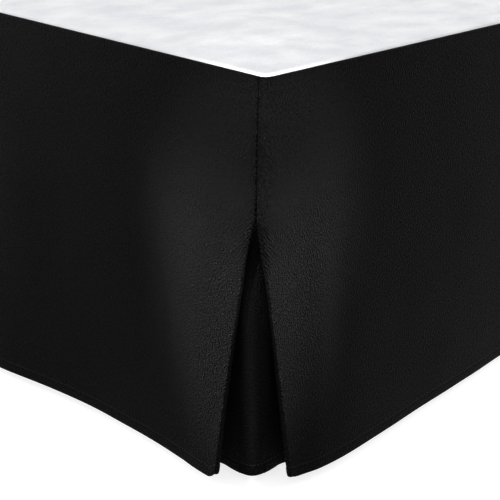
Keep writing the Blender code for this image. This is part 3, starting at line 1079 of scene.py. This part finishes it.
def make_box_spring():
    """The box spring's cover, from its profile."""
    low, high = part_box("box_spring")
    centre = (low + high) / 2
    half = (high - low) / 2
    mesh = bmesh.new()
    rings = []
    for share, inset in COVER_PROFILE:
        inset /= 1000
        z = mix(low.z, high.z, share)
        outline = rounded_rectangle(half.x - inset, half.y - inset, COVER_CORNER - inset / 2)
        rings.append([mesh.verts.new((centre.x + x, centre.y + y, z)) for x, y in outline])
    for lower, upper in zip(rings, rings[1:]):
        for i in range(len(lower)):
            j = (i + 1) % len(lower)
            mesh.faces.new((lower[i], lower[j], upper[j], upper[i]))
    mesh.faces.new(rings[0][::-1])
    mesh.faces.new(rings[-1])
    data = bpy.data.meshes.new("box_spring_cover")
    mesh.to_mesh(data)
    mesh.free()
    data.materials.append(MATERIALS["ticking"])
    data.shade_smooth()
    data.set_sharp_from_angle(angle=math.radians(COVER_SHARP_ANGLE))
    obj = add_object("box_spring_cover", data)
    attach(obj, "root")
    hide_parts("box_spring")


def dress_frame():
    """Gives the bed frame's own solids their paint and plastic."""
    for name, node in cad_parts.items():
        if name.startswith(("rail", "cross_rail", "leg")):
            material = MATERIALS["steel"]
        elif name.startswith("glide"):
            material = MATERIALS["plastic"]
        else:
            continue
        node.data.materials.clear()
        node.data.materials.append(material)


def make_floor():
    bpy.ops.mesh.primitive_plane_add(size=FLOOR_SIZE)
    floor = bpy.context.object
    floor.name = "studio_floor"
    material, nodes = make_material("studio_floor", 0.9, 0.1)
    nodes.shader.inputs["Base Color"].default_value = FLOOR_COLOUR
    nodes.shader.inputs["Emission Color"].default_value = (1, 1, 1, 1)
    nodes.shader.inputs["Emission Strength"].default_value = FLOOR_GLOW
    floor.data.materials.append(material)


def way_to(azimuth, height):
    """The way to something that far round from the foot, towards the right side, and that far up,
    both in degrees."""
    turn, lift = math.radians(azimuth), math.radians(height)
    level = math.cos(lift)
    return Vector((math.sin(turn) * level, -math.cos(turn) * level, math.sin(lift)))


def make_camera():
    """The camera looks back along the way to it from the corner, and is rolled a little."""
    yaw, roll = math.radians(CAMERA_YAW), math.radians(CAMERA_ROLL)
    ahead = -way_to(CAMERA_YAW, CAMERA_PITCH)
    right = Vector((math.cos(yaw), math.sin(yaw), 0))
    up = right.cross(ahead)
    across = right * math.cos(roll) + up * math.sin(roll)
    upright = up * math.cos(roll) - right * math.sin(roll)
    data = bpy.data.cameras.new("camera")
    data.lens = CAMERA_LENS
    data.sensor_width = CAMERA_SENSOR
    data.clip_start = CAMERA_NEAREST
    camera = add_object("camera", data)
    camera.matrix_world = Matrix((across, upright, -ahead)).transposed().to_4x4()
    camera.location = Vector((*RIGHT_CORNER, DECK_HEIGHT)) + Vector(CAMERA_FROM_CORNER)
    bpy.context.scene.camera = camera


def hang_light(name, kind, location, target, power, roll=0.0):
    data = bpy.data.lights.new(name, kind)
    data.energy = power
    obj = add_object(name, data)
    obj.location = location
    obj.visible_camera = False
    aimed = (target - location).to_track_quat("-Z", "Y")
    obj.rotation_mode = "QUATERNION"
    obj.rotation_quaternion = aimed @ Quaternion((0, 0, 1), math.radians(roll))
    return obj


def make_lights():
    world = bpy.data.worlds.new("studio")
    bpy.context.scene.world = world
    world.use_nodes = True
    background = world.node_tree.nodes["Background"]
    background.inputs["Color"].default_value = (1, 1, 1, 1)
    background.inputs["Strength"].default_value = WORLD
    for name, azimuth, height, aim, (pool_width, pool_height), power, roll, radius in SPOTS:
        target = Vector((*RIGHT_CORNER, 0)) + Vector(aim)
        location = target + SPOT_DISTANCE * way_to(azimuth, 0)
        location.z = height
        spot = hang_light(name, "SPOT", location, target, power, roll)
        spot.data.spot_size = 2 * math.atan(pool_height / 2 / SPOT_DISTANCE)
        spot.data.spot_blend = SPOT_BLEND
        spot.data.shadow_soft_size = radius
        spot.scale.x = pool_width / pool_height
    middle = Vector((0, 0, 0))
    far_off = WASH_DISTANCE * way_to(WASH_AZIMUTH, WASH_HEIGHT)
    wash = hang_light("left_wash", "SUN", far_off, middle, WASH)
    wash.data.angle = math.radians(WASH_SPREAD)
    bpy.context.scene.view_settings.view_transform = "Standard"


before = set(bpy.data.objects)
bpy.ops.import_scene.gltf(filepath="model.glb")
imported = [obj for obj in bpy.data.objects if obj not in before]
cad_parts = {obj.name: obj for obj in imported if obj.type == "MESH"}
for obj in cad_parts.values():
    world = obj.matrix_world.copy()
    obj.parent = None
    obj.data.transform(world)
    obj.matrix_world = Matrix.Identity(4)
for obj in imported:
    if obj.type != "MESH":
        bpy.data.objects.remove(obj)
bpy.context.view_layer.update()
MATERIALS = {
    "black": make_black(),
    "white": make_white(),
    "thread": make_thread(),
    "steel": make_steel(),
    "plastic": make_plastic(),
    "ticking": make_ticking(),
}
make_foot_drop()
make_side_drop("skirt_right", "drop_right", RIGHT_SIDE, RIGHT_HEM)
make_side_drop("skirt_left", "drop_left", LEFT_SIDE, LEFT_HEM, LEFT_COARSER)
make_insert("pleat_right", "pleat_insert_right", FOOT_FROM_RIGHT, RIGHT_SIDE)
make_insert("pleat_left", "pleat_insert_left", FOOT_FROM_LEFT, LEFT_SIDE, LEFT_COARSER)
make_deck()
make_box_spring()
dress_frame()
make_floor()
make_camera()
make_lights()
